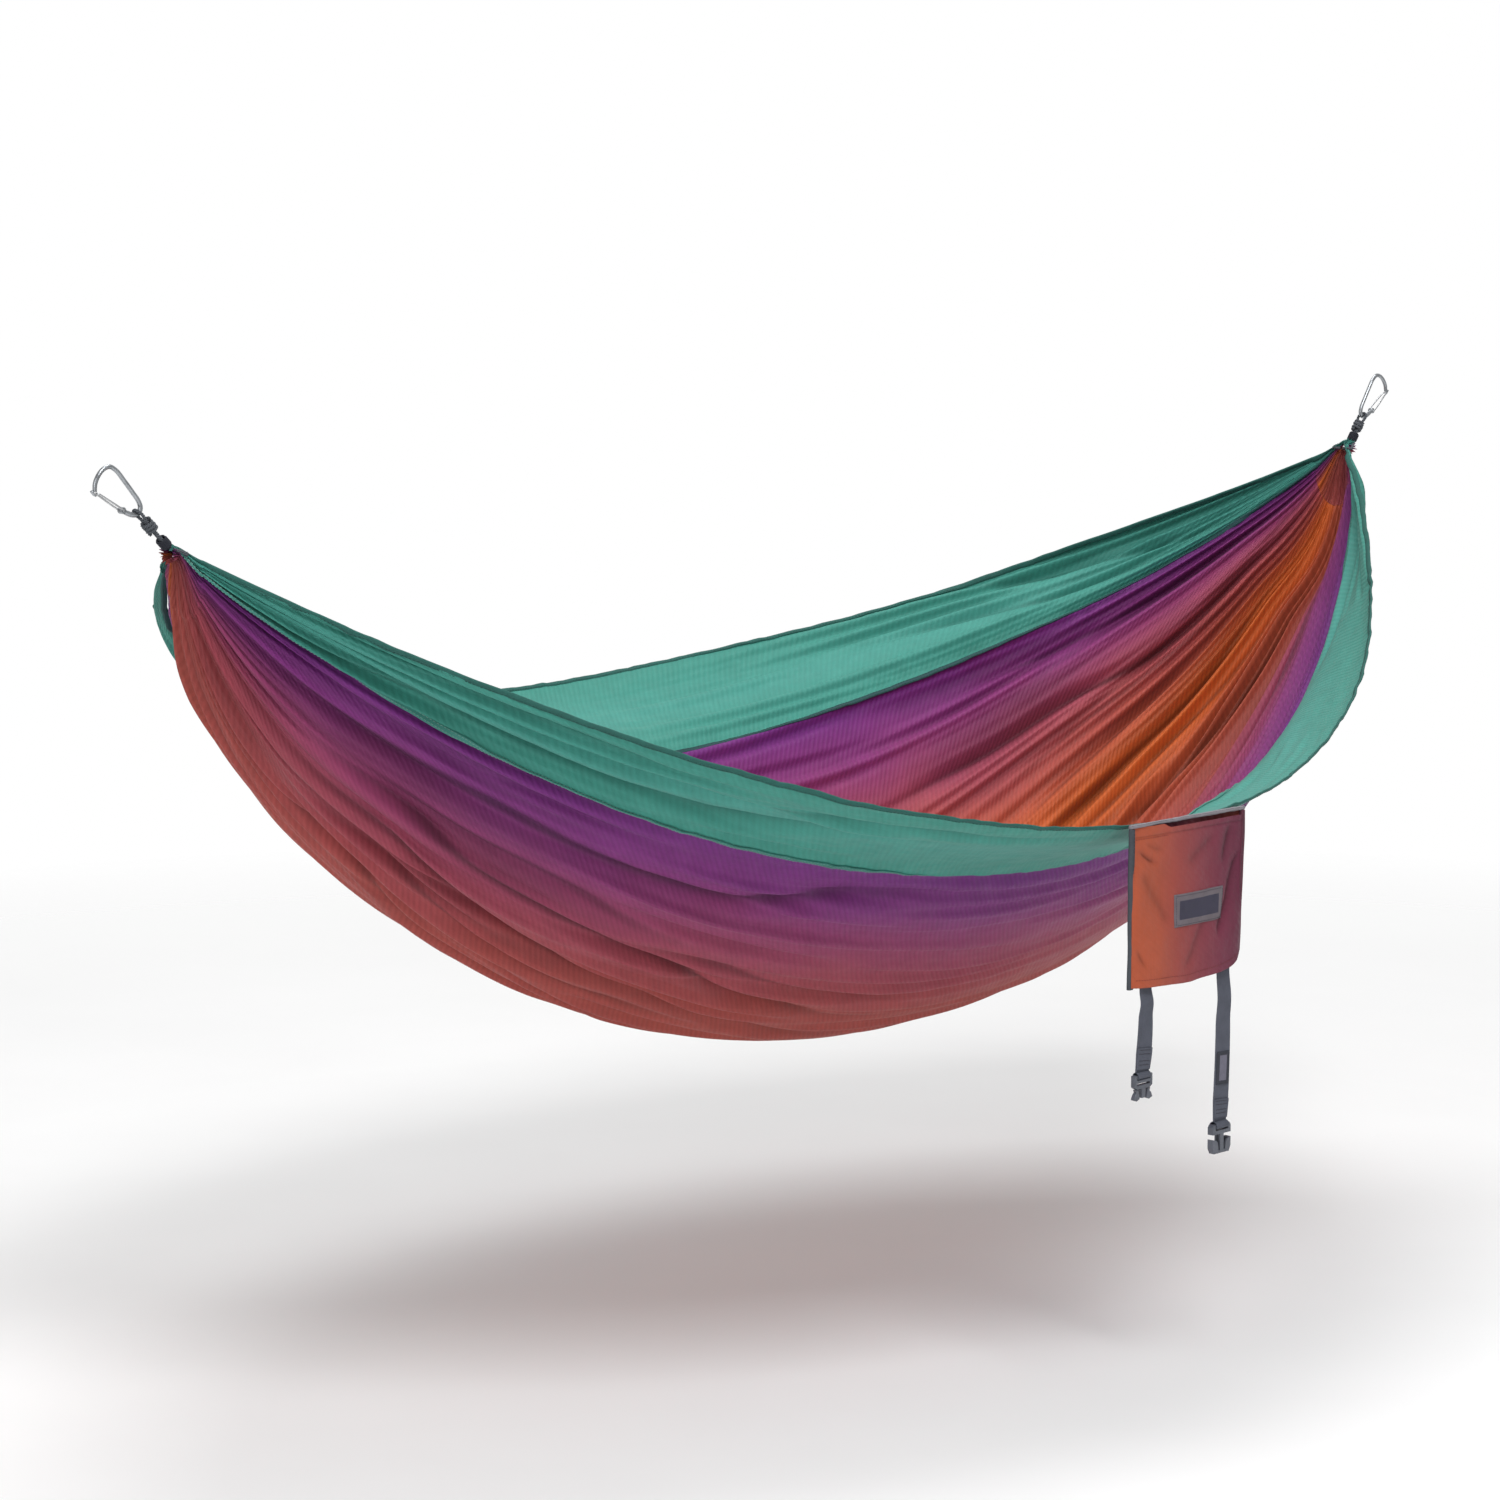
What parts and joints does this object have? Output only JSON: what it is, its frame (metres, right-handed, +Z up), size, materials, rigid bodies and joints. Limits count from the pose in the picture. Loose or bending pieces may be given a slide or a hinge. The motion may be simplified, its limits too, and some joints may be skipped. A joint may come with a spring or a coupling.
{
  "type": "camping hammock",
  "caption": "Gathered-end nylon camping hammock with contrasting side panels, rope loops, wire-gate carabiners and a stuff sack with buckled straps on one edge.",
  "frame": {"origin": "midway between the two hanging points, which are the bearings on the crowns of the two carabiners", "axes": "+X along the bed from the left carabiner to the right one, +Z up, -Y towards the edge that carries the sack"},
  "size_m": [2.4081, 1.251, 0.8782],
  "materials": {
    "teal_cloth": "matt woven nylon taffeta with a slight sheen",
    "sunset_cloth": "matt woven nylon taffeta, printed orange at the keel through rust and mauve to purple at the seams",
    "sack_cloth": "matt woven nylon taffeta, printed orange to maroon across the sack",
    "edge_trim": "dark grosgrain binding",
    "whipping_thread": "dark waxed thread",
    "suspension_cord": "grey braided cord",
    "webbing": "dark grey nylon webbing",
    "label_cloth": "dark grey woven label, blank",
    "carabiner_alloy": "grey anodised, lightly worn",
    "gate_wire": "bright stainless wire",
    "buckle_plastic": "dark grey moulded acetal"
  },
  "bodies": {
    "carabiners": {"left_carabiner_body": "carabiner_alloy", "right_carabiner_body": "carabiner_alloy"},
    "bed": {"near_side_panel": "teal_cloth", "centre_panel": "sunset_cloth", "far_side_panel": "teal_cloth", "near_edge_binding": "edge_trim", "far_edge_binding": "edge_trim", "left_gathered_end": "sunset_cloth", "right_gathered_end": "sunset_cloth", "left_rope": "suspension_cord", "right_rope": "suspension_cord", "left_whipping": "whipping_thread", "right_whipping": "whipping_thread"},
    "left_gate": {"left_carabiner_gate": "gate_wire"},
    "right_gate": {"right_carabiner_gate": "gate_wire"},
    "sack": {"sack_front_panel": "sack_cloth", "sack_back_panel": "sack_cloth", "sack_left_binding": "edge_trim", "sack_right_binding": "edge_trim", "sack_top_hem": "edge_trim", "sack_label": "label_cloth"},
    "short_strap": {"short_strap": "webbing"},
    "plug": {"plug_body": "buckle_plastic"},
    "plug_left_arm": {"plug_left_arm": "buckle_plastic"},
    "plug_right_arm": {"plug_right_arm": "buckle_plastic"},
    "long_strap": {"long_strap": "webbing", "strap_label": "label_cloth"},
    "socket": {"socket_body": "buckle_plastic"}
  },
  "joints": [
    {"name": "bed_swing", "type": "hinge", "parent": "carabiners", "child": "bed", "pos_m": [-1.13764, 0, -0.04761], "axis": [1, 0, -0.0021], "range_deg": [-25, 25]},
    {"name": "left_gate_open", "type": "hinge", "parent": "carabiners", "child": "left_gate", "pos_m": [-1.16019, 0, -0.04256], "axis": [0, 1, 0], "range_deg": [0, 32], "stiffness_Nm_per_rad": 0.05, "springref_deg": -11.46},
    {"name": "right_gate_open", "type": "hinge", "parent": "carabiners", "child": "right_gate", "pos_m": [1.16478, 0, -0.04492], "axis": [0, -1, 0], "range_deg": [0, 32], "stiffness_Nm_per_rad": 0.05, "springref_deg": -11.46},
    {"name": "sack_swing", "type": "hinge", "parent": "bed", "child": "sack", "pos_m": [-0.035, -0.61393, -0.44645], "axis": [1, 0, 0], "range_deg": [-150, 20]},
    {"name": "short_strap_swing", "type": "hinge", "parent": "sack", "child": "short_strap", "pos_m": [-0.112, -0.61393, -0.64395], "axis": [1, 0, 0], "range_deg": [-60, 40]},
    {"name": "plug_swing", "type": "hinge", "parent": "short_strap", "child": "plug", "pos_m": [-0.117, -0.61393, -0.74815], "axis": [1, 0, 0], "range_deg": [-60, 60]},
    {"name": "plug_left_arm_squeeze", "type": "hinge", "parent": "plug", "child": "plug_left_arm", "pos_m": [-0.1281, -0.61393, -0.76635], "axis": [0, -1, 0], "range_deg": [0, 7], "stiffness_Nm_per_rad": 0.05, "springref_deg": -2.86},
    {"name": "plug_right_arm_squeeze", "type": "hinge", "parent": "plug", "child": "plug_right_arm", "pos_m": [-0.1059, -0.61393, -0.76635], "axis": [0, 1, 0], "range_deg": [0, 7], "stiffness_Nm_per_rad": 0.05, "springref_deg": -2.86},
    {"name": "long_strap_swing", "type": "hinge", "parent": "sack", "child": "long_strap", "pos_m": [0.038, -0.61393, -0.64395], "axis": [1, 0, 0], "range_deg": [-60, 40]},
    {"name": "socket_swing", "type": "hinge", "parent": "long_strap", "child": "socket", "pos_m": [0.035, -0.61393, -0.83215], "axis": [1, 0, 0], "range_deg": [-60, 60]}
  ],
  "couplings": [
    {"joint": "plug_right_arm_squeeze", "follows": "plug_left_arm_squeeze", "ratio": 1}
  ]
}
